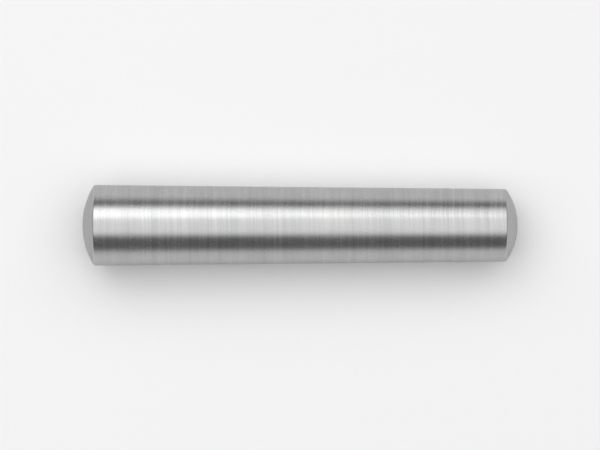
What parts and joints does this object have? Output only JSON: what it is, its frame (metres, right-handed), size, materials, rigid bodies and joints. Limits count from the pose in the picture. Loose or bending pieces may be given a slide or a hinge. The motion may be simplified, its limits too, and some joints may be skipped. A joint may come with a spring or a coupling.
{
  "type": "taper pin",
  "caption": "Solid round pin with a shank that narrows evenly and domed ends, driven into a taper-reamed hole to lock a hub or lever to its shaft.",
  "frame": {"origin": "on the pin's axis, in the plane of the small end's edge, which is the gauge plane where the nominal diameter is measured", "axes": "+X along the pin's axis from the large end towards the small end, the way the pin is driven; Y and Z across it"},
  "size_m": [0.03, 0.0056, 0.0056],
  "materials": {
    "steel": "ground bright"
  },
  "bodies": {
    "root": {"taper_pin": "steel"}
  },
  "joints": []
}
